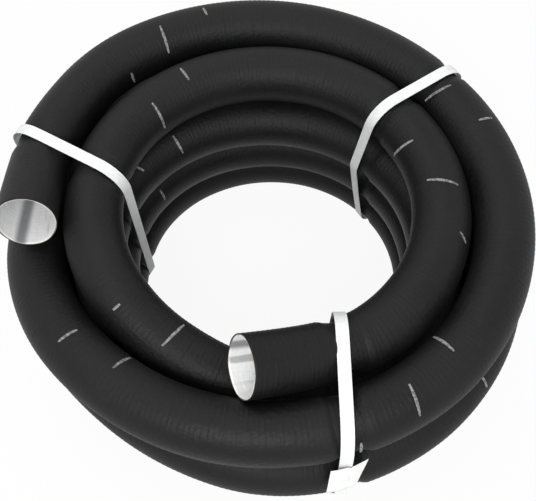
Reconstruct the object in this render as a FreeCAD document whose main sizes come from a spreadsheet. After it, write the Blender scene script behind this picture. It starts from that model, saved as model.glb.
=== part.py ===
"""Coil of flexible air duct, tied flat for storage with three straps.

The duct is one long hose, wound as two columns of turns side by side. It starts
at the mouth of the top inner turn, winds down the inner column, crosses under
to the outer column, winds up again and ends at the mouth of the top outer turn.
Angles are polar, in degrees, and keep growing along the hose. Millimetres.
"""
import FreeCAD, Part

import math
import os

import Sketcher

from FreeCAD import Vector

SIZES = {
    "duct_diameter": 60.0,
    "film_thickness": 0.35,
    "paper_thickness": 0.35,
    "foil_thickness": 0.3,
    "mouth_length": 45.0,
    "inner_turn_radius": 169.0,
    "column_gap": 0.3,
    "right_slack": 2.2,
    "back_right_slack": 0.0,
    "back_slack": 7.5,
    "back_left_slack": 6.3,
    "left_slack": 2.6,
    "front_left_slack": 1.8,
    "front_slack": 4.0,
    "front_right_slack": 5.6,
    "layer_gap": 4.5,
    "turn_oval": 9.0,
    "lower_turn_oval": 6.0,
    "lower_turn_dent": 18.5,
    "top_layer_lean": 5.0,
    "top_layer_slip": -2.0,
    "second_layer_lean": 6.0,
    "second_layer_slip": -19.0,
    "third_layer_lean": 2.5,
    "third_layer_slip": -7.5,
    "bottom_layer_lean": 0.0,
    "bottom_layer_slip": 7.5,
    "outer_end_spring": 10.0,
    "inner_end_lead": 54.7,
    "inner_end_turn": -7.8,
    "inner_end_lift": 21.8,
    "outer_bend_run": 63.8,
    "outer_bend_turn": -13.6,
    "outer_bend_lift": 5.2,
    "outer_end_lead": 31.3,
    "outer_end_turn": -28.6,
    "outer_end_lift": 20.9,
    "strap_width": 12.0,
    "strap_thickness": 0.7,
    "strap_clearance": 0.6,
    "strap_lap": 30.0,
    "label_thickness": 0.3,
    "label_height": 40.0,
    "label_left_wing": 15.0,
    "label_right_wing": 20.0,
    "label_wing_angle": 12.0,
    "label_clearance": 0.3,
}

# How the hose is wound: turns in each column, route points in each turn, and
# the angles between which it steps from one layer or column to the next. The
# loose end of the outer column springs out from its turn and back again.
LAYERS = 4
POINTS_PER_TURN = 16
START_ANGLE = -67.5
END_ANGLE = 157.5
DESCENT = (203.0, 291.0)
CLIMB = (160.0, 228.0)
CROSSING = (189.0, 237.0)
SPRING_OUT = (90.0, 135.0)
SPRING_BACK = (135.0, 171.0)

# The sides where the outer column's slack is given, anticlockwise from the
# right (+X), and where the lower turns are dented inward.
SIDES = ("right", "back_right", "back", "back_left", "left", "front_left", "front", "front_right")
DENT_ANGLE = 231.0
DENT_SHARPNESS = 8

# Each strap: the polar angle where it crosses the bundle, and how far its own
# plane is turned from the radial plane there.
STRAPS = {"left_strap": (168.9, -16.6), "right_strap": (39.0, -5.3), "front_strap": (-71.6, -17.5)}

doc = FreeCAD.newDocument("AirDuctCoil")
sheet = doc.addObject("Spreadsheet::Sheet", "Sizes")
for row, (name, value) in enumerate(SIZES.items(), start=1):
    sheet.set(f"A{row}", name)
    sheet.set(f"B{row}", str(value))
    sheet.setAlias(f"B{row}", name)
doc.recompute()


def size(name):
    """A driving dimension, read from the sheet."""
    return float(sheet.get(name))


DUCT_RADIUS = size("duct_diameter") / 2
PITCH = size("duct_diameter") + size("layer_gap")
FLOOR_TO_DUCT = size("strap_clearance") + size("strap_thickness")
TOP_HEIGHT = FLOOR_TO_DUCT + DUCT_RADIUS + (LAYERS - 1) * PITCH
STEP = 360.0 / POINTS_PER_TURN
LAST_ANGLE = END_ANGLE + 360.0 * (2 * LAYERS - 1)


def polar(radius, angle, height):
    """The point at a radius and angle about the coil's axis."""
    turn = math.radians(angle)
    return Vector(radius * math.cos(turn), radius * math.sin(turn), height)


def ramp(angle, span, turns=0):
    """How far the angle is through a span, from 0 to 1, some whole turns later."""
    start, end = (limit + 360.0 * turns for limit in span)
    return min(1.0, max(0.0, (angle - start) / (end - start)))


def layers_down(angle):
    """How many layers below the top one the hose lies at an angle."""
    down = sum(ramp(angle, DESCENT, turn) for turn in range(LAYERS - 1))
    up = sum(ramp(angle, CLIMB, LAYERS + turn) for turn in range(LAYERS - 1))
    return down - up


def layer_shift(down):
    """How far a loose layer leans left (-X) and has slipped back (+Y) of the axis."""
    layers = ("top", "second", "third", "bottom")
    upper = min(int(down), LAYERS - 2)
    above, below = (Vector(-size(name + "_layer_lean"), size(name + "_layer_slip"), 0)
                    for name in layers[upper:upper + 2])
    return above + (below - above) * (down - upper)


def column_slack(angle):
    """How far the outer turns stand off the inner ones, between the sides."""
    place = angle % 360.0 / (360.0 / len(SIDES))
    side = int(place)
    here, ahead = (size(SIDES[number % len(SIDES)] + "_slack") for number in (side, side + 1))
    return here + (ahead - here) * (place - side)


def coil_point(angle):
    """The route point of the wound hose at an angle."""
    down = layers_down(angle)
    lower = min(1.0, down)
    sideways = math.cos(math.radians(angle)) ** 2
    dented = max(0.0, math.cos(math.radians(angle - DENT_ANGLE))) ** DENT_SHARPNESS
    sprung = ramp(angle, SPRING_OUT, 2 * LAYERS - 1) - ramp(angle, SPRING_BACK, 2 * LAYERS - 1)
    spacing = size("duct_diameter") + size("column_gap") + column_slack(angle)
    radius = size("inner_turn_radius") + (size("turn_oval") + size("lower_turn_oval") * lower) * sideways
    radius += spacing * ramp(angle, CROSSING, LAYERS - 1) - size("lower_turn_dent") * lower * dented
    radius += size("outer_end_spring") * sprung
    on_arc = radius / math.cos(math.radians(STEP / 2))
    return polar(on_arc, angle, TOP_HEIGHT - PITCH * down) + layer_shift(down)


def leaving(start, heading, lift, length):
    """The point reached from another on a heading, in polar degrees, and a rise."""
    flat = math.cos(math.radians(lift)) * length
    return start + polar(flat, heading, math.sin(math.radians(lift)) * length)


def route_points():
    """The whole route: inner mouth, coil, bend and outer mouth.

    Each end's turn is how far it heads outward of its last turn's tangent.
    """
    count = round((LAST_ANGLE - START_ANGLE) / STEP) + 1
    coil = [coil_point(START_ANGLE + STEP * index) for index in range(count)]
    backward, forward = START_ANGLE - 90.0, END_ANGLE + 90.0
    inner_run = size("inner_end_lead") + size("mouth_length")
    outer_run = size("outer_end_lead") + size("mouth_length")
    inner_mouth = leaving(coil[0], backward + size("inner_end_turn"), size("inner_end_lift"), inner_run)
    bend = leaving(coil[-1], forward - size("outer_bend_turn"), size("outer_bend_lift"), size("outer_bend_run"))
    outer_mouth = leaving(bend, forward - size("outer_end_turn"), size("outer_end_lift"), outer_run)
    return [inner_mouth] + coil + [bend, outer_mouth]


ROUTE = route_points()


def bend_at(index):
    """Start, middle, end and radius of the arc that rounds a route point."""
    corner = ROUTE[index]
    back = ROUTE[index - 1] - corner
    ahead = ROUTE[index + 1] - corner
    reach = 0.45 * min(back.Length, ahead.Length)
    half_turn = (math.pi - back.getAngle(ahead)) / 2
    radius = reach / math.tan(half_turn)
    back.normalize()
    ahead.normalize()
    inward = (back + ahead).normalize()
    middle = corner + inward * (radius / math.cos(half_turn) - radius)
    return corner + back * reach, middle, corner + ahead * reach, radius


def path(start, first, last, end):
    """Straight runs joined by tangent arcs, round route points first to last."""
    edges = []
    here = start
    for index in range(first, last + 1):
        arc_start, arc_middle, arc_end, _ = bend_at(index)
        edges.append(Part.LineSegment(here, arc_start).toShape())
        edges.append(Part.Arc(arc_start, arc_middle, arc_end).toShape())
        here = arc_end
    edges.append(Part.LineSegment(here, end).toShape())
    return Part.Wire(edges)


def along_z(direction):
    """The rotation that turns +Z to a direction."""
    return FreeCAD.Rotation(Vector(0, 0, 1), direction)


parts = []


def keep(feature, label):
    """Name a finished sub-part and list it for writing."""
    feature.Label = label
    parts.append(feature)
    return feature


def mouth_frame(tip, inside):
    """The placement at the inner end of a mouth, with +Z pointing out of it."""
    outward = (tip - inside).normalize()
    base = tip - outward * size("mouth_length")
    return FreeCAD.Placement(base, along_z(outward))


def add_ply(label, outer_radius, thickness, placement):
    """One ply of a duct mouth: a straight ring, padded from two circles."""
    body = doc.addObject("PartDesign::Body", label)
    sketch = body.newObject("Sketcher::SketchObject", label + "_section")
    plane = [item for item in body.Origin.OriginFeatures if item.Role == "XY_Plane"][0]
    sketch.AttachmentSupport = [(plane, "")]
    sketch.MapMode = "FlatFace"
    for index, radius in enumerate((outer_radius, f"{outer_radius} - {thickness}")):
        sketch.addGeometry(Part.Circle(Vector(), Vector(0, 0, 1), DUCT_RADIUS - index), False)
        sketch.addConstraint(Sketcher.Constraint("Coincident", index, 3, -1, 1))
        rim = sketch.addConstraint(Sketcher.Constraint("Radius", index, DUCT_RADIUS - index))
        sketch.setExpression(f"Constraints[{rim}]", radius)
    pad = body.newObject("PartDesign::Pad", label + "_pad")
    pad.Profile = sketch
    pad.setExpression("Length", "Sizes.mouth_length")
    body.Placement = placement
    return keep(body, label)


def add_mouth(side, tip, inside):
    """The three plies of one open end of the duct."""
    placement = mouth_frame(tip, inside)
    film_radius = "Sizes.duct_diameter / 2"
    paper_radius = film_radius + " - Sizes.film_thickness"
    foil_radius = paper_radius + " - Sizes.paper_thickness"
    add_ply(side + "_mouth_film", film_radius, "Sizes.film_thickness", placement)
    add_ply(side + "_mouth_paper", paper_radius, "Sizes.paper_thickness", placement)
    add_ply(side + "_mouth_foil", foil_radius, "Sizes.foil_thickness", placement)
    return placement.Base


def add_tube(label, wire):
    """A length of the wound duct, swept hollow along its path."""
    spine = doc.addObject("Part::Feature", label + "_path")
    spine.Shape = wire
    start = wire.OrderedEdges[0]
    heading = start.tangentAt(start.FirstParameter)
    sweeps = []
    for surface, radius in (("outside", "0"), ("inside", "Sizes.film_thickness + Sizes.paper_thickness"
                                               " + Sizes.foil_thickness")):
        circle = doc.addObject("Part::Circle", f"{label}_{surface}_circle")
        circle.setExpression("Radius", f"Sizes.duct_diameter / 2 - ({radius})")
        circle.Placement = FreeCAD.Placement(wire.OrderedVertexes[0].Point, along_z(heading))
        sweep = doc.addObject("Part::Sweep", f"{label}_{surface}")
        sweep.Sections = [circle]
        sweep.Spine = (spine, [f"Edge{number + 1}" for number in range(len(wire.Edges))])
        sweep.Solid = True
        sweep.Frenet = False
        sweeps.append(sweep)
    tube = doc.addObject("Part::Cut", label)
    tube.Base, tube.Tool = sweeps
    return keep(tube, label)


def turn_groups():
    """Name, first and last route point of each length of the wound duct."""
    crossing = round((CROSSING[0] + 360.0 * (LAYERS - 1) - START_ANGLE) / STEP) + 1
    landing = round((CROSSING[1] + 360.0 * (LAYERS - 1) - START_ANGLE) / STEP) + 1
    inner = [1 + POINTS_PER_TURN * turn for turn in range(LAYERS)] + [crossing]
    last = len(ROUTE) - 2
    outer = [landing] + [last - POINTS_PER_TURN * (LAYERS - 1 - turn) for turn in range(LAYERS - 1)] + [last + 1]
    groups = [(f"inner_turn_{turn + 1}", inner[turn], inner[turn + 1] - 1) for turn in range(LAYERS)]
    groups.append(("crossover_turn", crossing, landing - 1))
    groups += [(f"outer_turn_{LAYERS - turn}", outer[turn], outer[turn + 1] - 1) for turn in range(LAYERS)]
    return groups


def add_duct():
    """Both mouths and every turn, each meeting the next face to face."""
    here = add_mouth("inner", ROUTE[0], ROUTE[1])
    finish = mouth_frame(ROUTE[-1], ROUTE[-2]).Base
    wires = []
    groups = turn_groups()
    for label, first, last in groups:
        end = finish if label == groups[-1][0] else (ROUTE[last] + ROUTE[last + 1]) * 0.5
        wire = path(here, first, last, end)
        add_tube(label, wire)
        wires.append(wire)
        here = end
    add_mouth("outer", ROUTE[-1], ROUTE[-2])
    return wires


def outline_hull(points):
    """The corners of the convex outline round some points, anticlockwise."""
    def half(ordered):
        chain = []
        for point in ordered:
            while len(chain) > 1 and (chain[-1] - chain[-2]).cross(point - chain[-1]).z <= 0:
                chain.pop()
            chain.append(point)
        return chain[:-1]

    ordered = sorted(points, key=lambda point: (point.x, point.y))
    return half(ordered) + half(ordered[::-1])


def askew(along, aside):
    """How much wider a hose is in a strap's plane that it crosses askew."""
    slope = abs(aside / along)
    return DUCT_RADIUS * (math.hypot(1, slope) - 1) + size("strap_width") / 2 * slope


def strap_corners(wires, base, outward):
    """The corners of the bundle's outline in a strap's plane: x outward, y up."""
    normal = outward.cross(Vector(0, 0, 1))
    corners = []
    for wire in wires:
        points = [point for edge in wire.OrderedEdges for point in edge.discretize(24)]
        for here, ahead in zip(points, points[1:]):
            before, after = (here - base).dot(normal), (ahead - base).dot(normal)
            if before * after < 0 and abs((here - base).dot(outward)) < size("inner_turn_radius") / 2:
                step = ahead - here
                crossing = here + step * (before / (before - after))
                across = (crossing - base).dot(outward)
                wide, high = (askew(step.dot(normal), aside) for aside in (step.dot(outward), step.z))
                corners += [Vector(across + x * wide, crossing.z + y * high, 0) for x in (-1, 1) for y in (-1, 1)]
    return outline_hull(corners)


def runs_round(corners, distance):
    """The straight runs of a band that goes round the corners at a distance."""
    runs = []
    for here, ahead in zip(corners, corners[1:] + corners[:1]):
        along = (ahead - here).normalize()
        away = Vector(along.y, -along.x, 0) * distance
        runs.append((here + away, ahead + away))
    return runs


def outer_runs(runs):
    """The long runs down the outside of the bundle, the top one last."""
    shortest = size("strap_lap")
    return [run for run in runs if (run[1] - run[0]).Length > shortest and run[1].y - run[0].y > shortest]


def band_wire(corners, distance, frame, lap=0.0):
    """A closed band of runs and arcs, with a lap on its lowest outer run."""
    runs = runs_round(corners, distance)
    lap_run = outer_runs(runs)[0]
    edges = []
    for index, (start, end) in enumerate(runs):
        points = [start, end]
        if lap and (start, end) == lap_run:
            along = (end - start).normalize()
            away = Vector(along.y, -along.x, 0) * lap
            middle = (start + end) * 0.5
            foot, head = (middle + along * (side * size("strap_lap") / 2) for side in (-1, 1))
            points = [start, foot, foot + away, head + away, head, end]
        edges += [Part.LineSegment(*pair).toShape() for pair in zip(points, points[1:])]
        corner = corners[(index + 1) % len(corners)]
        following = runs[(index + 1) % len(runs)][0]
        swing = (end - corner) + (following - corner)
        edges.append(Part.Arc(end, corner + swing.normalize() * distance, following).toShape())
    wire = Part.Wire(edges)
    wire.Placement = frame
    return wire


def add_strap(label, wires, angle, skew):
    """One strap pulled tight round the bundle, its ends welded in a lap."""
    turn = math.radians(angle + skew)
    outward = Vector(math.cos(turn), math.sin(turn), 0)
    bundle_middle = size("inner_turn_radius") + DUCT_RADIUS
    base = polar(bundle_middle, angle, 0)
    corners = strap_corners(wires, base, outward)
    frame = FreeCAD.Placement(base, FreeCAD.Rotation(outward, Vector(0, 0, 1), Vector(), "XYZ"))
    inside = DUCT_RADIUS + size("strap_clearance")
    outside = inside + size("strap_thickness")
    section = doc.addObject("Part::Feature", label + "_section")
    rims = [band_wire(corners, outside, frame, size("strap_thickness")), band_wire(corners, inside, frame)]
    section.Shape = Part.makeFace(rims, "Part::FaceMakerBullseye")
    strap = doc.addObject("Part::Extrusion", label)
    strap.Base = section
    strap.DirMode = "Custom"
    strap.Dir = outward.cross(Vector(0, 0, 1))
    strap.setExpression("LengthFwd", "Sizes.strap_width")
    strap.Symmetric = True
    strap.Solid = True
    keep(strap, label)
    return outer_runs(runs_round(corners, outside)), frame


def add_label(run, frame):
    """The paper strip folded along the front strap, with a wing each side."""
    body = doc.addObject("PartDesign::Body", "strap_label")
    sketch = body.newObject("Sketcher::SketchObject", "strap_label_section")
    plane = [item for item in body.Origin.OriginFeatures if item.Role == "XY_Plane"][0]
    sketch.AttachmentSupport = [(plane, "")]
    sketch.MapMode = "FlatFace"
    fold = "Sizes.label_wing_angle * 1deg"
    thick = "Sizes.label_thickness"
    corners = [("0", "0"), ("0", f"{thick} / cos({fold})")]
    for side, wing in (("", "Sizes.label_right_wing"), ("-", "Sizes.label_left_wing")):
        tip = (f"{side}{wing} * cos({fold})", f"{wing} * sin({fold})")
        edge = (f"{tip[0]} - {side or '+'}{thick} * sin({fold})", f"{tip[1]} + {thick} * cos({fold})")
        corners[1:1] = [tip, edge] if not side else []
        corners += [edge, tip] if side else []
    start = [Vector(*place) for place in ((0, 0), (9, 1), (9, 2), (0, 1), (-9, 2), (-9, 1))]
    for index, here in enumerate(start):
        sketch.addGeometry(Part.LineSegment(here, start[(index + 1) % len(start)]), False)
    for index, place in enumerate(corners):
        sketch.addConstraint(Sketcher.Constraint("Coincident", index - 1 if index else len(start) - 1, 2, index, 1))
        for kind, value, guess in zip(("DistanceX", "DistanceY"), place, start[index]):
            number = sketch.addConstraint(Sketcher.Constraint(kind, -1, 1, index, 1, guess))
            sketch.setExpression(f"Constraints[{number}]", value)
    pad = body.newObject("PartDesign::Pad", "strap_label_pad")
    pad.Profile = sketch
    pad.setExpression("Length", "Sizes.label_height")
    along = (run[1] - run[0]).normalize()
    away = Vector(along.y, -along.x, 0)
    foot = (run[0] + run[1]) * 0.5 + away * size("label_clearance") - along * (size("label_height") / 2)
    turned = FreeCAD.Rotation(Vector(), away, along, "ZYX")
    body.Placement = frame * FreeCAD.Placement(foot, turned)
    return keep(body, "strap_label")


def overall_box():
    """The box of the whole coil as it stands."""
    box = FreeCAD.BoundBox()
    for part in parts:
        box.add(part.Shape.optimalBoundingBox(False, False))
    return box


def centre_over_origin():
    """Move every sub-part so that the coil stands centred over the origin."""
    middle = overall_box().Center
    shift = FreeCAD.Placement(Vector(-middle.x, -middle.y, 0), FreeCAD.Rotation())
    for part in parts:
        part.Placement = shift * part.Placement
    return shift.Base


def check_document():
    """Stop if any object failed, or a sub-part has no valid shape."""
    for item in doc.Objects:
        if {"Invalid", "Error"} & set(item.State):
            raise RuntimeError(f"{item.Name} failed: {item.State}")
    for part in parts:
        if part.Shape.isNull() or not part.Shape.isValid():
            raise RuntimeError(f"{part.Label} has no valid shape")


duct_wires = add_duct()
for name, (place, skew) in STRAPS.items():
    strap_runs, strap_frame = add_strap(name, duct_wires, place, skew)
    if name == "front_strap":
        add_label(strap_runs[-1], strap_frame)
doc.recompute()
moved = centre_over_origin()
doc.recompute()
check_document()

os.makedirs("parts", exist_ok=True)
for part in parts:
    part.Shape.exportStep(f"parts/{part.Label}.step")
print("bend radii", [round(bend_at(index)[3]) for index in range(1, len(ROUTE) - 1)])
print("moved", moved, "box", overall_box())
for part in parts:
    print(part.Label, len(part.Shape.Solids), round(part.Shape.Volume))
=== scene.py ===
"""Looks of a strapped coil of flexible air duct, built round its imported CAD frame.

The duct is one long hose in two columns of four turns: black plastic film over
kraft paper over aluminium foil. Three white straps hold the coil, and a paper
label is folded round the front one. Lengths are metres and angles are degrees.
"""
from __future__ import annotations

import logging
import math
from dataclasses import dataclass, field
from enum import Enum
from typing import NamedTuple, Sequence

import bpy
import numpy as np
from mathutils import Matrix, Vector, noise


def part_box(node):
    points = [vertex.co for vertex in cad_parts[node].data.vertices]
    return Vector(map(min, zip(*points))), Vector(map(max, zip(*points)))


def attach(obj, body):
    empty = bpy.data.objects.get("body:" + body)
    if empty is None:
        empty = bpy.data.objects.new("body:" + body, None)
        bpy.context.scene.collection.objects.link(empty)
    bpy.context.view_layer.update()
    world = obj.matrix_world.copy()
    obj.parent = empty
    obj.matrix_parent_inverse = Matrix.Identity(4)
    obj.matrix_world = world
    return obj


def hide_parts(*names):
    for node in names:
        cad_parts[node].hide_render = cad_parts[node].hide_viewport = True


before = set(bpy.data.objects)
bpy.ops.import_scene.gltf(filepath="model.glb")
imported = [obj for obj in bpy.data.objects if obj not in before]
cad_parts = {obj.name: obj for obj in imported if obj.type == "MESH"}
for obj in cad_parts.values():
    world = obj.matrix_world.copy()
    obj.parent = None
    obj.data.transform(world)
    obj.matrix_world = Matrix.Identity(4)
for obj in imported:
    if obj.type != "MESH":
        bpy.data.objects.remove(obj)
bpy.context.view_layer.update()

log = logging.getLogger("air_duct")
BODY = "root"
MM = 0.001
RIB_PITCH = 5.0 * MM
SPLINE_STEPS = 24
Array = np.ndarray
Colour = tuple[float, float, float]
Place = tuple[float, float, float]


class Slot(Enum):
    """The record's material slots."""

    FILM = "duct_film"
    PAPER = "paper_ply"
    FOIL = "foil_liner"
    LABEL = "label_paper"


class Value:
    """A shader value: a node's output socket with Python's operators."""

    def __init__(self, network: "Network", socket: bpy.types.NodeSocket) -> None:
        """Wrap a socket.

        Args:
            network: The node tree that the socket belongs to.
            socket: The output socket.
        """
        self.network = network
        self.socket = socket

    def _math(self, operation: str, *values: "Value | float") -> "Value":
        """One Math node."""
        return self.network.node("ShaderNodeMath", {"operation": operation}, dict(enumerate(values)))

    def __add__(self, other: "Value | float") -> "Value":
        """Sum."""
        return self._math("ADD", self, other)

    __radd__ = __add__

    def __sub__(self, other: "Value | float") -> "Value":
        """Difference."""
        return self._math("SUBTRACT", self, other)

    def __rsub__(self, other: float) -> "Value":
        """Difference from a number."""
        return self._math("SUBTRACT", other, self)

    def __mul__(self, other: "Value | float") -> "Value":
        """Product."""
        return self._math("MULTIPLY", self, other)

    __rmul__ = __mul__

    def __truediv__(self, other: "Value | float") -> "Value":
        """Quotient."""
        return self._math("DIVIDE", self, other)

    def fraction(self) -> "Value":
        """What is left after the whole number."""
        return self._math("FRACT", self)

    def size(self) -> "Value":
        """The value without its sign."""
        return self._math("ABSOLUTE", self)

    def sine(self) -> "Value":
        """The sine, of radians."""
        return self._math("SINE", self)

    def step(self, start: float, end: float) -> "Value":
        """A smooth step.

        Args:
            start: The value where the step begins.
            end: The value where it ends, which may be the lower one.

        Returns:
            0 before the step and 1 after it.
        """
        settings = {"interpolation_type": "SMOOTHSTEP", "clamp": True}
        inputs = {"Value": self, "From Min": start, "From Max": end}
        return self.network.node("ShaderNodeMapRange", settings, inputs)


class Network:
    """A node tree that expressions can add to."""

    def __init__(self, tree: bpy.types.NodeTree) -> None:
        """Hold a tree."""
        self.tree = tree

    def node(self, kind: str, settings: dict | None = None, inputs: dict | None = None,
             output: int | str = 0) -> Value:
        """Add any node.

        Args:
            kind: The node's type.
            settings: Its properties, set first.
            inputs: Values or links for its sockets, by name or number.
            output: The output socket to return.

        Returns:
            The chosen output.
        """
        made = self.tree.nodes.new(kind)
        for key, setting in (settings or {}).items():
            setattr(made, key, setting)
        for key, value in (inputs or {}).items():
            if isinstance(value, Value):
                self.tree.links.new(value.socket, made.inputs[key])
            else:
                made.inputs[key].default_value = value
        return Value(self, made.outputs[output])

    def seen(self) -> Value:
        """1 for a ray that shows the background, straight or in gloss or glass, or else 0."""
        camera = self.node("ShaderNodeLightPath", output="Is Camera Ray")
        outputs = camera.socket.node.outputs
        others = (Value(self, outputs[name]) for name in ("Is Glossy Ray", "Is Transmission Ray"))
        return sum(others, camera)


class Shader(Network):
    """A material's node tree, with one Principled shader."""

    def __init__(self, name: str, **constants: float | tuple[float, ...]) -> None:
        """Start a material.

        Args:
            name: The material's name.
            constants: Principled inputs that are the same all over, with _ for a space.
        """
        self.material = bpy.data.materials.new(name)
        self.material.use_nodes = True
        super().__init__(self.material.node_tree)
        self.principled = self.tree.nodes["Principled BSDF"]
        for key, constant in constants.items():
            self.principled.inputs[key.replace("_", " ")].default_value = constant

    def feed(self, name: str, value: Value) -> None:
        """Link a value to an input of the Principled shader."""
        self.tree.links.new(value.socket, self.principled.inputs[name])

    def wrap(self) -> tuple[Value, Value]:
        """The surface's own coordinates: share of the way around, and metres along."""
        place = self.node("ShaderNodeUVMap", {"uv_map": "wrap"})
        parts = self.node("ShaderNodeSeparateXYZ", inputs={0: place})
        return parts, Value(self, parts.socket.node.outputs[1])

    def cloud(self, scale: float, detail: float = 3.0, where: Value | None = None) -> Value:
        """Noise over the object.

        Args:
            scale: Cells in a metre.
            detail: Octaves.
            where: The vector to read it at, or None for the object's own place.

        Returns:
            The noise, from about 0.25 to 0.75.
        """
        place = where or self.node("ShaderNodeTexCoord", output="Object")
        return self.node("ShaderNodeTexNoise", inputs={"Vector": place, "Scale": scale, "Detail": detail})

    def ribs(self, along: Value) -> Value:
        """The duct's corrugation, as a wave along the hose."""
        return (along * (2 * math.pi / RIB_PITCH)).sine()

    def vector(self, x: Value | float, y: Value | float, z: Value | float = 0.0) -> Value:
        """A vector of three values."""
        return self.node("ShaderNodeCombineXYZ", inputs={0: x, 1: y, 2: z})

    def tint(self, share: Value, low: Sequence[float], high: Sequence[float]) -> Value:
        """A colour between two.

        Args:
            share: 0 for the low colour and 1 for the high one.
            low: The first colour.
            high: The second colour.

        Returns:
            The mixed colour.
        """
        inputs = {"Factor": share, 6: (*low, 1.0), 7: (*high, 1.0)}
        return self.node("ShaderNodeMix", {"data_type": "RGBA"}, inputs, output=2)

    def bump(self, height: Value, depth: float, before: Value | None = None) -> Value:
        """A Bump node.

        Args:
            height: The height, in units of the depth.
            depth: Metres.
            before: A normal to add to.

        Returns:
            The new normal.
        """
        inputs = {"Height": height, "Distance": depth, "Strength": 1.0}
        if before:
            inputs["Normal"] = before
        return self.node("ShaderNodeBump", inputs=inputs)


@dataclass(frozen=True)
class FilmFinish:
    """Satin black film, stretched over the corrugation and a little dusty."""

    dark: Colour = (0.0035, 0.0036, 0.0039)
    worn: Colour = (0.0105, 0.0105, 0.011)
    roughness: float = 0.47
    band_width: float = 11.6 * MM
    band_height: float = 0.12 * MM
    rib_height: float = 0.05 * MM
    crinkle_height: float = 0.6 * MM

    def material(self) -> bpy.types.Material:
        """The film's material."""
        shader = Shader("duct_film", IOR=1.46, Specular_IOR_Level=0.29)
        around, along = shader.wrap()
        patches = shader.cloud(9.0, 4.0)
        scuffs = shader.cloud(160.0, 5.0)
        seam = (along / self.band_width + around).fraction()
        edge = (seam - 0.5).size().step(0.4, 0.5)
        shade = patches.step(0.35, 0.7) * 0.6 + scuffs.step(0.5, 0.75) * 0.4
        shader.feed("Base Color", shader.tint(shade, self.dark, self.worn))
        shader.feed("Roughness", self.roughness + patches.step(0.3, 0.7) * 0.1 + scuffs * 0.08)
        crinkle = shader.cloud(26.0, 4.0, shader.vector(around * 2.0, along * 10.0))
        normal = shader.bump(shader.ribs(along), self.rib_height)
        normal = shader.bump(edge, self.band_height, normal)
        shader.feed("Normal", shader.bump(crinkle, self.crinkle_height, normal))
        return shader.material


@dataclass(frozen=True)
class FoilFinish:
    """Bright foil, crinkled lengthwise and ringed by the corrugation, with painted sheen along its crinkle streaks
    and painted shade along one crease.
    """

    bright: Colour = (0.99, 0.99, 0.99)
    # Painted shade: the dark end of the foil's colour, shown in the shaded crease and between the sheen streaks.
    painted_shade_tone: Colour = (0.3, 0.305, 0.315)
    roughness: float = 0.3
    rib_height: float = 0.03 * MM
    streak_height: float = 3.0 * MM
    dent_height: float = 0.8 * MM
    # Where the painted crease shade runs: its share of the way around at the start, and its drift for each metre
    # along.
    shaded_crease_start: float = 0.56
    shaded_crease_drift: float = 0.0255

    def material(self) -> bpy.types.Material:
        """The foil's material."""
        shader = Shader("foil_liner", Metallic=0.1)
        around, along = shader.wrap()
        streaks = shader.cloud(9.0, 3.0, shader.vector(around * 1.1, along * 0.8))
        dents = shader.cloud(120.0, 4.0)
        # Painted shade along one crease, and painted sheen where the crinkle streaks lighten the colour.
        painted_crease_shade = (around - along * self.shaded_crease_drift - self.shaded_crease_start).size().step(0.05, 0.01)
        painted_sheen_and_shade = (0.35 + 0.65 * streaks.step(0.36, 0.46)) * (1 - painted_crease_shade)
        shader.feed("Base Color", shader.tint(painted_sheen_and_shade, self.painted_shade_tone, self.bright))
        shader.feed("Roughness", self.roughness + dents * 0.2)
        normal = shader.bump(shader.ribs(along), self.rib_height)
        normal = shader.bump(streaks, self.streak_height, normal)
        shader.feed("Normal", shader.bump(dents, self.dent_height, normal))
        return shader.material


@dataclass(frozen=True)
class PaperFinish:
    """Bare paper with fibres."""

    name: str = "kraft_paper"
    pale: Colour = (0.46, 0.37, 0.27)
    deep: Colour = (0.33, 0.25, 0.17)
    fibre_height: float = 0.1 * MM

    def material(self) -> bpy.types.Material:
        """The paper's material."""
        shader = Shader(self.name, Roughness=0.85)
        fibres = shader.cloud(900.0, 5.0)
        patches = shader.cloud(60.0, 3.0)
        shade = (fibres + patches) * 0.5
        shader.feed("Base Color", shader.tint(shade.step(0.35, 0.65), self.deep, self.pale))
        shader.feed("Normal", shader.bump(fibres, self.fibre_height))
        return shader.material


@dataclass(frozen=True)
class StrapFinish:
    """White polypropylene strapping, embossed with a fine diamond pattern."""

    pale: Colour = (0.91, 0.915, 0.92)
    worn: Colour = (0.8, 0.81, 0.82)
    pattern_pitch: float = 1.6 * MM
    pattern_height: float = 0.06 * MM

    def material(self) -> bpy.types.Material:
        """The strap's material."""
        shader = Shader("white_strap", Roughness=0.42, IOR=1.49)
        place = shader.node("ShaderNodeTexCoord", output="Object")
        x = shader.node("ShaderNodeSeparateXYZ", inputs={0: place})
        y, z = (Value(shader, x.socket.node.outputs[axis]) for axis in (1, 2))
        wave = 2 * math.pi / self.pattern_pitch
        diamonds = ((x + y + z) * wave).sine() * ((x - y + z) * wave).sine()
        scuffs = shader.cloud(220.0, 4.0)
        shader.feed("Base Color", shader.tint(scuffs.step(0.45, 0.75), self.pale, self.worn))
        shader.feed("Normal", shader.bump(diamonds, self.pattern_height))
        return shader.material


@dataclass(frozen=True)
class LightDashFinish:
    """Light grey of the short dashes across the film."""

    dash_grey: Colour = (0.3, 0.3, 0.3)
    dash_deep: Colour = (0.12, 0.12, 0.12)
    dash_bump_height: float = 0.05 * MM

    def material(self) -> bpy.types.Material:
        """The dashes' material."""
        shader = Shader("light_dash_grey", Roughness=0.55)
        mottle = shader.cloud(420.0, 3.0)
        # Light grey dashes across the black film, mottled darker by noise.
        shader.feed("Base Color", shader.tint(mottle.step(0.4, 0.6), self.dash_grey, self.dash_deep))
        shader.feed("Normal", shader.bump(mottle, self.dash_bump_height))
        return shader.material


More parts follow.
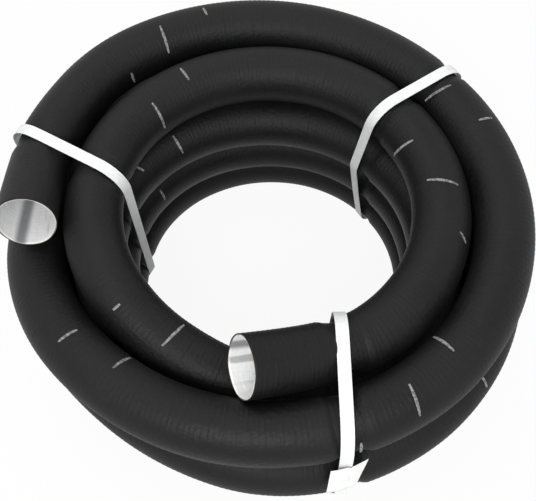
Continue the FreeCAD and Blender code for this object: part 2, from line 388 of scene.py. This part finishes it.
class Leading(NamedTuple):
    """A straight stretch of the route at one of the hose's ends."""

    turn: float
    lift: float
    length: float

    def end(self, start: Vector, heading: float) -> Vector:
        """Where the stretch ends.

        Args:
            start: Where it starts.
            heading: The direction that it turns from, seen from above.

        Returns:
            The far point.
        """
        lift, turn = math.radians(self.lift), math.radians(heading + self.turn)
        flat = math.cos(lift) * self.length
        return start + Vector((flat * math.cos(turn), flat * math.sin(turn), math.sin(lift) * self.length))


@dataclass(frozen=True)
class Winding:
    """How the hose is wound: the CAD route's own values."""

    duct_diameter: float = 60.0 * MM
    inner_turn_radius: float = 169.0 * MM
    column_gap: float = 0.3 * MM
    column_slacks: tuple[float, ...] = (2.2, 0.0, 7.5, 6.3, 2.6, 1.8, 4.0, 5.6)
    layer_gap: float = 4.5 * MM
    turn_oval: float = 9.0 * MM
    lower_turn_oval: float = 6.0 * MM
    lower_turn_dent: float = 18.5 * MM
    dent_angle: float = 231.0
    dent_sharpness: int = 8
    layer_leans: tuple[float, ...] = (5.0, 6.0, 2.5, 0.0)
    layer_slips: tuple[float, ...] = (-2.0, -19.0, -7.5, 7.5)
    outer_end_spring: float = 10.0 * MM
    inner_mouth: Leading = Leading(-7.8, 21.8, 99.7 * MM)
    outer_bend: Leading = Leading(13.6, 5.2, 63.8 * MM)
    outer_mouth: Leading = Leading(28.6, 20.9, 76.3 * MM)
    mouth_length: float = 45.0 * MM
    floor_to_duct: float = 1.3 * MM
    points_per_turn: int = 16
    start_angle: float = -67.5
    end_angle: float = 157.5
    descent: tuple[float, float] = (203.0, 291.0)
    climb: tuple[float, float] = (160.0, 228.0)
    crossing: tuple[float, float] = (189.0, 237.0)
    spring_out: tuple[float, float] = (90.0, 135.0)
    spring_back: tuple[float, float] = (135.0, 171.0)

    @property
    def layers(self) -> int:
        """Turns in each column."""
        return len(self.layer_slips)

    @property
    def radius(self) -> float:
        """The hose's outer radius."""
        return self.duct_diameter / 2

    @property
    def top_height(self) -> float:
        """The height of the top turns' middle."""
        pitch = self.duct_diameter + self.layer_gap
        return self.floor_to_duct + self.radius + (self.layers - 1) * pitch

    @staticmethod
    def ramp(angle: float, span: tuple[float, float], turns: int = 0) -> float:
        """How far an angle is through a span, from 0 to 1, some whole turns later."""
        start, end = (limit + 360.0 * turns for limit in span)
        return min(1.0, max(0.0, (angle - start) / (end - start)))

    def layers_down(self, angle: float) -> float:
        """How many layers below the top one the hose lies at an angle."""
        down = sum(self.ramp(angle, self.descent, turn) for turn in range(self.layers - 1))
        risen = (self.ramp(angle, self.climb, self.layers + turn) for turn in range(self.layers - 1))
        return down - sum(risen)

    def layer_shift(self, down: float) -> Vector:
        """How far the turns at a depth stand off the coil's middle."""
        upper = min(int(down), self.layers - 2)
        share = down - upper
        lean, slip = (offsets[upper] * (1 - share) + offsets[upper + 1] * share
                      for offsets in (self.layer_leans, self.layer_slips))
        return Vector((-lean, slip, 0.0)) * MM

    def column_slack(self, angle: float) -> float:
        """The free room between the two columns at an angle."""
        place = angle % 360.0 / (360.0 / len(self.column_slacks))
        side = int(place)
        here, ahead = (self.column_slacks[number % len(self.column_slacks)] for number in (side, side + 1))
        return (here + (ahead - here) * (place - side)) * MM

    def coil_point(self, angle: float) -> Vector:
        """The route point of the wound hose at an angle."""
        down = self.layers_down(angle)
        lower = min(1.0, down)
        turns = 2 * self.layers - 1
        sideways = math.cos(math.radians(angle)) ** 2
        dented = max(0.0, math.cos(math.radians(angle - self.dent_angle))) ** self.dent_sharpness
        spacing = self.duct_diameter + self.column_gap + self.column_slack(angle)
        radius = self.inner_turn_radius + (self.turn_oval + self.lower_turn_oval * lower) * sideways
        radius += spacing * self.ramp(angle, self.crossing, self.layers - 1)
        radius -= self.lower_turn_dent * lower * dented
        sprung = self.ramp(angle, self.spring_out, turns) - self.ramp(angle, self.spring_back, turns)
        radius += self.outer_end_spring * sprung
        radius /= math.cos(math.radians(180.0 / self.points_per_turn))
        turn = math.radians(angle)
        height = self.top_height - (self.duct_diameter + self.layer_gap) * down
        return Vector((radius * math.cos(turn), radius * math.sin(turn), height)) + self.layer_shift(down)

    def control_points(self) -> list[Vector]:
        """The whole route: inner mouth, coil, bend and outer mouth.

        Returns:
            The route's points, moved to where the CAD stands the coil.
        """
        step = 360.0 / self.points_per_turn
        last = self.end_angle + 360.0 * (2 * self.layers - 1)
        count = round((last - self.start_angle) / step) + 1
        coil = [self.coil_point(self.start_angle + step * index) for index in range(count)]
        inner_mouth = self.inner_mouth.end(coil[0], self.start_angle - 90.0)
        bend = self.outer_bend.end(coil[-1], self.end_angle + 90.0)
        outer_mouth = self.outer_mouth.end(bend, self.end_angle + 90.0)
        middle = inner_mouth + (coil[0] - inner_mouth).normalized() * (self.mouth_length / 2)
        low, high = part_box("inner_mouth_film")
        shift = (Vector(low) + Vector(high)) / 2 - middle
        log.info("route: %d points, moved by %.2f, %.2f, %.2f mm", count + 3, *(shift / MM))
        return [point + shift for point in [inner_mouth] + coil + [bend, outer_mouth]]


class Centreline:
    """The hose's smooth middle line, read from the route's NURBS spline."""

    def __init__(self, controls: Sequence[Vector], spacing: float) -> None:
        """Read the line and carry a frame along it.

        Args:
            controls: The spline's control points.
            spacing: Metres between the line's points.
        """
        raw = self.read_spline(controls)
        steps = np.linalg.norm(np.diff(raw, axis=0), axis=1)
        reach = np.concatenate([[0.0], np.cumsum(steps)])
        self.length = float(reach[-1])
        count = round(self.length / spacing) + 1
        self.along = np.linspace(0.0, self.length, count)
        self.points = np.stack([np.interp(self.along, reach, raw[:, axis]) for axis in range(3)], axis=1)
        heading = np.gradient(self.points, axis=0)
        self.heading = heading / np.linalg.norm(heading, axis=1)[:, None]
        up = np.array([0.0, 0.0, 1.0])
        side = np.cross(self.heading, up)
        self.side = side / np.linalg.norm(side, axis=1)[:, None]
        self.up = np.cross(self.side, self.heading)

    @staticmethod
    def read_spline(controls: Sequence[Vector]) -> Array:
        """The points of a NURBS spline through its control points."""
        data = bpy.data.curves.new("route", "CURVE")
        data.dimensions = "3D"
        spline = data.splines.new("NURBS")
        spline.points.add(len(controls) - 1)
        for point, place in zip(spline.points, controls):
            point.co = (*place, 1.0)
        spline.order_u = 3
        spline.use_endpoint_u = True
        spline.resolution_u = SPLINE_STEPS
        holder = bpy.data.objects.new("route", data)
        bpy.context.scene.collection.objects.link(holder)
        graph = bpy.context.evaluated_depsgraph_get()
        mesh = bpy.data.meshes.new_from_object(holder.evaluated_get(graph))
        points = np.array([tuple(vertex.co) for vertex in mesh.vertices])
        bpy.data.meshes.remove(mesh)
        bpy.data.objects.remove(holder)
        return points


def make_piece(name: str, vertices: Array, faces: Array, wrap: Array,
               finish: bpy.types.Material) -> bpy.types.Object:
    """Make a mesh piece that rides on the coil.

    Args:
        name: The piece's name.
        vertices: One row for each vertex.
        faces: One row of four vertex numbers for each face.
        wrap: Each face corner's surface coordinates.
        finish: The piece's material.

    Returns:
        The new object.
    """
    mesh = bpy.data.meshes.new(name)
    mesh.vertices.add(len(vertices))
    mesh.vertices.foreach_set("co", vertices.astype(np.float32).ravel())
    mesh.loops.add(faces.size)
    mesh.loops.foreach_set("vertex_index", faces.astype(np.int32).ravel())
    mesh.polygons.add(len(faces))
    mesh.polygons.foreach_set("loop_start", np.arange(0, faces.size, 4, dtype=np.int32))
    mesh.update(calc_edges=True)
    layer = mesh.uv_layers.new(name="wrap")
    layer.data.foreach_set("uv", wrap.astype(np.float32).ravel())
    mesh.polygons.foreach_set("use_smooth", [True] * len(mesh.polygons))
    mesh.materials.append(finish)
    piece = bpy.data.objects.new(name, mesh)
    bpy.context.scene.collection.objects.link(piece)
    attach(piece, BODY)
    log.info("%s: %d faces", name, len(faces))
    return piece


def shell_faces(rings: int, segments: int) -> tuple[Array, Array]:
    """The faces of a closed shell, whose last ring joins the first.

    Args:
        rings: Rings of vertices.
        segments: Vertices in each ring.

    Returns:
        The faces, and for each corner its ring and segment, not wrapped.
    """
    ring, segment = np.meshgrid(np.arange(rings), np.arange(segments), indexing="ij")
    steps = ((0, 0), (1, 0), (1, 1), (0, 1))
    corners = [np.stack([ring + ahead, segment + aside], axis=-1) for ahead, aside in steps]
    corners = np.stack(corners, axis=2).reshape(-1, 4, 2)
    faces = (corners[..., 0] % rings) * segments + corners[..., 1] % segments
    return faces, corners.reshape(-1, 2)


class Strap(NamedTuple):
    """One strap: its CAD node, and how far it presses the hose in."""

    node: str
    pinch: float


@dataclass(frozen=True)
class Straps:
    """The three straps that tie the coil, as the CAD has them."""

    straps: tuple[Strap, ...] = (
        Strap("left_strap", 2.2 * MM), Strap("right_strap", 2.2 * MM), Strap("front_strap", 4.2 * MM))
    reach: float = 130.0 * MM
    pinch_edge: float = 18.0 * MM
    pinch_slope: float = 11.0 * MM

    def pinched(self, points: Array) -> Array:
        """How far the straps press the hose in.

        Args:
            points: Places on the hose's middle line.

        Returns:
            One depth for each place.
        """
        depth = np.zeros(len(points))
        for strap in self.straps:
            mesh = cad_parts[strap.node].data
            corners = np.array([tuple(vertex.co) for vertex in mesh.vertices])
            middle = corners.mean(axis=0)
            across = np.linalg.svd(corners - middle, full_matrices=False)[2][2]
            offset = points - middle
            near = np.linalg.norm(offset, axis=1) < self.reach
            aside = np.abs(offset @ across)
            share = np.clip((self.pinch_edge - aside) / self.pinch_slope, 0, 1)
            depth = np.maximum(depth, near * share * share * (3 - 2 * share) * strap.pinch)
        return depth

    def dress(self) -> None:
        """Give the CAD straps their finish."""
        finish = StrapFinish().material()
        for strap in self.straps:
            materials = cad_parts[strap.node].data.materials
            materials.clear()
            materials.append(finish)
            log.info("%s: CAD solid, dressed", strap.node)


class Ply(NamedTuple):
    """One layer of the hose's wall: its sizes, and how deep its creases, cut and ribs are."""

    outer: float
    thickness: float
    slot: Slot
    creases: float
    cut_wave: float
    rib_depth: float


@dataclass
class Hose:
    """The duct itself: film outside, foil inside, paper between at the mouths."""

    winding: Winding
    straps: Straps
    film: Ply = Ply(30.0 * MM, 0.5 * MM, Slot.FILM, 0.0, 0.8 * MM, 0.2 * MM)
    paper: Ply = Ply(29.45 * MM, 0.3 * MM, Slot.PAPER, 0.2 * MM, 1.0 * MM, 0.12 * MM)
    foil: Ply = Ply(29.1 * MM, 0.3 * MM, Slot.FOIL, 1.3 * MM, 0.9 * MM, 0.06 * MM)
    ring_spacing: float = 2.5 * MM
    segments: int = 48
    rings_inside: int = 8
    unevenness: float = 0.7 * MM
    lump_rings: int = 4
    lump_cells: float = 1.1
    lump_rate: float = 14.0
    lump_sink: float = 0.6
    crease_cells: float = 2.2
    crease_rate: float = 9.0
    crease_sink: float = 0.8
    cut_cells: float = 1.6
    cut_rings: int = 3
    cut_lead: float = 0.4
    lining_depth: float = 180.0 * MM
    paper_depth: float = 45.0 * MM
    line: Centreline = field(init=False)

    def __post_init__(self) -> None:
        """Read the route's smooth line."""
        self.line = Centreline(self.winding.control_points(), self.ring_spacing)

    @property
    def turns(self) -> Array:
        """Each segment's angle around the hose."""
        return np.linspace(0.0, 2 * math.pi, self.segments, endpoint=False)

    def spokes(self, rows: Array) -> Array:
        """The directions out of the hose, by ring and segment."""
        side, up = self.line.side[rows][:, None, :], self.line.up[rows][:, None, :]
        return side * np.cos(self.turns)[None, :, None] + up * np.sin(self.turns)[None, :, None]

    def rings(self, radius: Array, rows: Array, slide: Array) -> Array:
        """The vertices of some rings.

        Args:
            radius: Each ring's radius at each segment.
            rows: The rings' numbers on the line.
            slide: How far each vertex stands ahead along the hose.

        Returns:
            The vertices, by ring and segment.
        """
        ahead = self.line.heading[rows][:, None, :] * slide[..., None]
        return self.line.points[rows][:, None, :] + self.spokes(rows) * radius[..., None] + ahead

    def girth_noise(self, cells: float, reach: float) -> list[float]:
        """Smooth noise round one ring.

        Args:
            cells: How fast it changes around the hose.
            reach: Where along the noise the ring lies.

        Returns:
            One value for each segment, from about -1 to 1.
        """
        return [noise.noise(Vector((math.cos(turn) * cells, math.sin(turn) * cells, reach))) for turn in self.turns]

    def lumps(self, rows: Array) -> Array:
        """A soft unevenness of the wound hose, from about -1 to 1."""
        uneven = np.empty((len(rows), self.segments))
        for index, row in enumerate(rows):
            if index % self.lump_rings == 0:
                values = self.girth_noise(self.lump_cells, self.line.along[row] * self.lump_rate)
            uneven[index] = values
        return uneven

    def creased(self, rows: Array, seed: float) -> Array:
        """Lengthwise creases, from about -1 to 1, which wander slowly along the hose."""
        reaches = self.line.along[rows] * self.crease_rate + seed
        return np.array([self.girth_noise(self.crease_cells, reach) for reach in reaches])

    def add_ply(self, name: str, ply: Ply, rows: Array, stride: int,
                finish: bpy.types.Material) -> bpy.types.Object:
        """One ply as a closed shell.

        Args:
            name: The piece's name.
            ply: The layer of the wall.
            rows: The rings' numbers, from one cut end to the other.
            stride: Rings of the outer face for each ring of the inner one.
            finish: The piece's material.

        Returns:
            The new object.
        """
        ribs = np.where(rows % 2 == 0, 0.0, -ply.rib_depth)[:, None]
        radius = ply.outer + ribs + (self.lumps(rows) - self.lump_sink) * self.unevenness * 0.5
        radius = radius - self.straps.pinched(self.line.points[rows])[:, None]
        if ply.creases:
            radius = radius + (self.creased(rows, ply.outer) - self.crease_sink) * ply.creases * 0.5
        wave = np.array(self.girth_noise(self.cut_cells, ply.outer / MM))
        last = len(self.line.points) - 1
        fade = np.clip(1 - rows / self.cut_rings, 0, 1) - np.clip(1 - (last - rows) / self.cut_rings, 0, 1)
        slide = fade[:, None] * (wave[None, :] + self.cut_lead) * ply.cut_wave
        inside = np.unique(np.append(np.arange(0, len(rows), stride), len(rows) - 1))[::-1]
        outer = self.rings(radius, rows, slide)
        inner_ribs = ribs[inside] if stride == 1 else -ply.rib_depth
        inner_radius = radius[inside] - ribs[inside] + inner_ribs - ply.thickness
        inner = self.rings(inner_radius, rows[inside], slide[inside])
        rings = np.concatenate([outer, inner])
        ring_rows = np.concatenate([rows, rows[inside]])
        faces, corners = shell_faces(len(rings), self.segments)
        along = self.line.along[ring_rows[corners[:, 0] % len(rings)]]
        wrap = np.stack([corners[:, 1] / self.segments, along], axis=1)
        return make_piece(name, rings.reshape(-1, 3), faces, wrap, finish)

    def surface(self, place: float, turn: float) -> tuple[Array, Array, Array]:
        """Where a place on the hose is.

        Args:
            place: Metres along the middle line.
            turn: Radians around.

        Returns:
            The middle line's point, the direction out and the direction along.
        """
        row = min(len(self.line.points) - 1, round(place / self.ring_spacing))
        heading = self.line.heading[row]
        middle = self.line.points[row] + heading * (place - self.line.along[row])
        return middle, self.line.side[row] * math.cos(turn) + self.line.up[row] * math.sin(turn), heading

    def add_film(self) -> None:
        """The black film, from mouth to mouth."""
        rows = np.arange(len(self.line.points))
        skin = self.add_ply("duct_skin", self.film, rows, self.rings_inside, FilmFinish().material())
        turns = [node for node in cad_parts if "turn" in node and "mouth" not in node]
        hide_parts("inner_mouth_film", "outer_mouth_film", *turns)
        log.info("duct_skin: %.3f m of hose", self.line.length)

    def add_mouths(self) -> None:
        """The paper and the foil that show at each cut end."""
        paper, foil = PaperFinish().material(), FoilFinish().material()
        last = len(self.line.points) - 1
        linings = (("paper", self.paper, self.paper_depth, paper), ("foil", self.foil, self.lining_depth, foil))
        for side in ("inner", "outer"):
            for part, ply, depth, finish in linings:
                rows = np.arange(round(depth / self.ring_spacing) + 1)
                rows = rows if side == "inner" else last - rows[::-1]
                piece = self.add_ply(f"{side}_{part}_lining", ply, rows, 1, finish)
                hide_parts(f"{side}_mouth_{part}")


class Mark(NamedTuple):
    """One light grey dash: metres along and degrees around the hose, at its two ends."""

    along_start: float
    around_start: float
    along_end: float
    around_end: float


@dataclass(frozen=True)
class LightDashes:
    """The short light grey dashes across the film, as thin patches on it."""

    width: float = 2.9 * MM
    end_width: float = 0.6
    height: float = 0.12 * MM
    depth: float = 0.5 * MM
    steps: int = 8
    marks: tuple[Mark, ...] = (
        Mark(9.8935, 92.9, 9.8953, 155.1), Mark(0.671, 74.0, 0.6695, 109.7), Mark(0.7209, 112.1, 0.7240, 174.4),
        Mark(1.8042, 108.8, 1.8029, 152.9), Mark(9.8409, 72.4, 9.8387, 96.1), Mark(9.9516, 158.2, 9.9506, 186.4),
        Mark(1.8640, 112.0, 1.8612, 130.0), Mark(2.9579, 135.1, 2.9602, 164.7), Mark(9.5470, 153.1, 9.5381, 92.3),
        Mark(9.4861, 94.9, 9.4847, 64.2), Mark(0.3791, 178.6, 0.3740, 118.3), Mark(0.3204, 123.7, 0.3112, 64.5),
        Mark(0.2626, 60.3, 0.2568, 39.0), Mark(8.8195, 74.5, 8.8213, 113.3), Mark(8.8747, 104.7, 8.8760, 150.0),
        Mark(1.0210, 71.8, 1.0254, 133.3), Mark(0.9674, 59.9, 0.9674, 76.8), Mark(9.2130, 152.6, 9.2096, 96.5),
        Mark(9.1563, 98.7, 9.1518, 41.1), Mark(9.0984, 14.6, 9.0992, 38.0), Mark(7.7483, 31.4, 7.7500, 60.0),
    )

    def patch(self, hose: Hose, mark: Mark) -> Array:
        """One mark's vertices, four at each step, from its lower turn to its higher one."""
        ends = (mark.around_start, mark.along_start), (mark.around_end, mark.along_end)
        (around_0, along_0), (around_1, along_1) = sorted(ends)
        corners = ((-0.5, self.height), (0.5, self.height), (0.5, -self.depth), (-0.5, -self.depth))
        vertices = []
        for index in range(self.steps + 1):
            share = index / self.steps
            turn = math.radians(around_0 + (around_1 - around_0) * share)
            middle, out, heading = hose.surface(along_0 + (along_1 - along_0) * share, turn)
            width = self.width * (self.end_width + (1 - self.end_width) * math.sin(math.pi * share))
            base = middle + out * hose.film.outer
            vertices += [base + out * rise + heading * width * aside for aside, rise in corners]
        return np.array(vertices)

    def faces(self, first: int) -> list[tuple[int, int, int, int]]:
        """One mark's faces.

        Args:
            first: The number of its first vertex.

        Returns:
            Four vertex numbers for each face.
        """
        end = first + 4 * self.steps
        sides = [(near + a, near + b, near + b + 4, near + a + 4)
                 for near in range(first, end, 4) for a, b in ((0, 1), (1, 2), (2, 3), (3, 0))]
        return sides + [(first + 3, first + 2, first + 1, first), (end, end + 1, end + 2, end + 3)]

    def add(self, hose: Hose) -> None:
        """All the marks, as one piece on the hose."""
        patches = [self.patch(hose, mark) for mark in self.marks]
        faces = np.array([face for number, patch in enumerate(patches) for face in self.faces(number * len(patch))])
        wrap = np.tile(np.array([(0.0, 0.0), (1.0, 0.0), (1.0, 1.0), (0.0, 1.0)]), (len(faces), 1))
        finish = LightDashFinish().material()
        piece = make_piece("light_dashes", np.concatenate(patches), faces, wrap, finish)
        piece.data.polygons.foreach_set("use_smooth", [False] * len(faces))


class Edge(NamedTuple):
    """One upright line of the folded label, from its top to its foot."""

    top: Place
    foot: Place

    def towards(self, other: "Edge", share: float) -> tuple[Array, Array]:
        """The line's ends part of the way to another line."""
        top = np.array(self.top) * (1 - share) + np.array(other.top) * share
        return top, np.array(self.foot) * (1 - share) + np.array(other.foot) * share


@dataclass(frozen=True)
class StrapLabel:
    """The paper label, folded round the front strap."""

    left: Edge = Edge((0.0526, -0.2649, 0.2212), (0.0513, -0.2763, 0.1780))
    fold: Edge = Edge((0.0712, -0.2614, 0.2222), (0.0700, -0.2726, 0.1775))
    right: Edge = Edge((0.0860, -0.2548, 0.2245), (0.0800, -0.2672, 0.1850))
    thickness: float = 0.25 * MM
    curl: float = 0.8 * MM
    curl_top: float = 0.4
    curl_foot: float = 1.2
    ripples_across: float = 2.0
    ripples_down: float = 2.2
    ripple_seed: float = 0.4
    wing_seed: float = 3.0
    notch_depth: float = 3.5 * MM
    notch_share: float = 0.12
    pale: Colour = (0.94, 0.94, 0.935)
    deep: Colour = (0.82, 0.82, 0.81)
    wing_columns: int = 16
    rows: int = 18

    def front(self) -> Array:
        """The front face's points, by row from the top and column from the left."""
        points = []
        for row in range(self.rows + 1):
            down = row / self.rows
            line = []
            for number, (near, far) in enumerate(((self.left, self.fold), (self.fold, self.right))):
                for column in range(number, self.wing_columns + 1):
                    share = column / self.wing_columns
                    top, foot = near.towards(far, share)
                    from_fold = share if number else 1 - share
                    top[2] -= self.notch_depth * max(0.0, 1 - from_fold / self.notch_share)
                    place = top * (1 - down) + foot * down
                    across = share * self.ripples_across + number * self.wing_seed
                    ripple = noise.noise(Vector((across, down * self.ripples_down, self.ripple_seed)))
                    swell = self.curl_top + (self.curl_foot - self.curl_top) * down
                    place[1] -= self.curl * (math.sin(math.pi * share) + ripple) * swell
                    line.append(place)
            points.append(line)
        return np.array(points)

    def add(self) -> None:
        """The label, as a thin closed sheet."""
        front = self.front()
        rows, columns = front.shape[:2]
        back = front + np.array([0.0, self.thickness, 0.0])
        vertices = np.concatenate([front.reshape(-1, 3), back.reshape(-1, 3)])
        number = np.arange(rows * columns).reshape(rows, columns)
        quads = [number[:-1, :-1], number[1:, :-1], number[1:, 1:], number[:-1, 1:]]
        sheet = np.stack(quads, axis=-1).reshape(-1, 4)
        rim = np.concatenate([number[0, :-1], number[:-1, -1], number[-1, :0:-1], number[:0:-1, 0]])
        after = np.roll(rim, -1)
        behind = rows * columns
        edge = np.stack([rim, after, after + behind, rim + behind], axis=-1)
        faces = np.concatenate([sheet, sheet[:, ::-1] + behind, edge])
        flat = np.stack([number % columns / columns, 1 - number // columns / rows], axis=-1).reshape(-1, 2)
        wrap = np.concatenate([flat, flat])[faces.ravel()]
        finish = PaperFinish("label_paper", self.pale, self.deep).material()
        label = make_piece("paper_label", vertices, faces, wrap, finish)
        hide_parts("strap_label")


class Lamp(NamedTuple):
    """One soft round lamp that faces the coil: metres, metres across and watts."""

    name: str
    place: Place
    size: float
    power: float


@dataclass(frozen=True)
class Studio:
    """Camera, lamps and floor."""

    camera_place: Place = (-0.002336, -0.382710, 0.901554)
    camera_elevation: float = 63.9
    focal_pixels: float = 757.0
    frame_width: float = 536.0
    sensor_width: float = 36.0
    clip: tuple[float, float] = (0.01, 50.0)
    floor_size: float = 12.0
    floor_tone: tuple[float, float, float, float] = (0.9, 0.9, 0.9, 1.0)
    floor_glow: float = 0.92
    sky_light: float = 0.68
    lamps: tuple[Lamp, ...] = (
        Lamp("key", (-0.4, 0.6, 1.8), 1.2, 5.0), Lamp("front", (-0.15, -1.15, 1.6), 0.6, 15.0))

    def add_camera(self) -> None:
        """The camera, at the photograph's own angle."""
        data = bpy.data.cameras.new("camera")
        data.sensor_width = self.sensor_width
        data.lens = self.focal_pixels / self.frame_width * self.sensor_width
        data.clip_start, data.clip_end = self.clip
        camera = bpy.data.objects.new("camera", data)
        camera.location = self.camera_place
        camera.rotation_euler = (math.radians(90.0 - self.camera_elevation), 0.0, 0.0)
        bpy.context.scene.collection.objects.link(camera)
        bpy.context.scene.camera = camera

    def add_floor(self) -> None:
        """The plain pale floor, which shows white and keeps the coil's soft shadow."""
        bpy.ops.mesh.primitive_plane_add(size=self.floor_size)
        floor = bpy.context.object
        floor.name = "floor"
        shader = Shader("floor", Base_Color=self.floor_tone, Roughness=0.9)
        glow = shader.node("ShaderNodeEmission", inputs={"Color": (1, 1, 1, 1), "Strength": 1.0})
        lit = Value(shader, shader.principled.outputs[0])
        mixed = shader.node("ShaderNodeMixShader", inputs={0: shader.seen() * self.floor_glow, 1: lit, 2: glow})
        shader.tree.links.new(mixed.socket, shader.tree.nodes["Material Output"].inputs["Surface"])
        floor.data.materials.append(shader.material)

    def add_light(self) -> None:
        """Soft studio light: a white sky and the lamps."""
        scene = bpy.context.scene
        scene.view_settings.view_transform = "Standard"
        scene.world = scene.world or bpy.data.worlds.new("studio")
        scene.world.use_nodes = True
        sky = Network(scene.world.node_tree)
        background = sky.tree.nodes["Background"]
        background.inputs["Color"].default_value = (1, 1, 1, 1)
        strength = self.sky_light + sky.seen() * (1 - self.sky_light)
        sky.tree.links.new(strength.socket, background.inputs["Strength"])
        for lamp in self.lamps:
            data = bpy.data.lights.new(lamp.name, "AREA")
            data.shape, data.size, data.energy = "DISK", lamp.size, lamp.power
            holder = bpy.data.objects.new(lamp.name, data)
            holder.location = lamp.place
            holder.rotation_euler = (-holder.location).to_track_quat("-Z", "Y").to_euler()
            scene.collection.objects.link(holder)


def main() -> None:
    """Build the coil and its stage."""
    logging.basicConfig(level=logging.INFO, format="%(name)s: %(message)s")
    studio = Studio()
    studio.add_camera()
    straps = Straps()
    hose = Hose(Winding(), straps)
    hose.add_film()
    hose.add_mouths()
    LightDashes().add(hose)
    StrapLabel().add()
    straps.dress()
    studio.add_floor()
    studio.add_light()


if __name__ == "__main__":
    main()
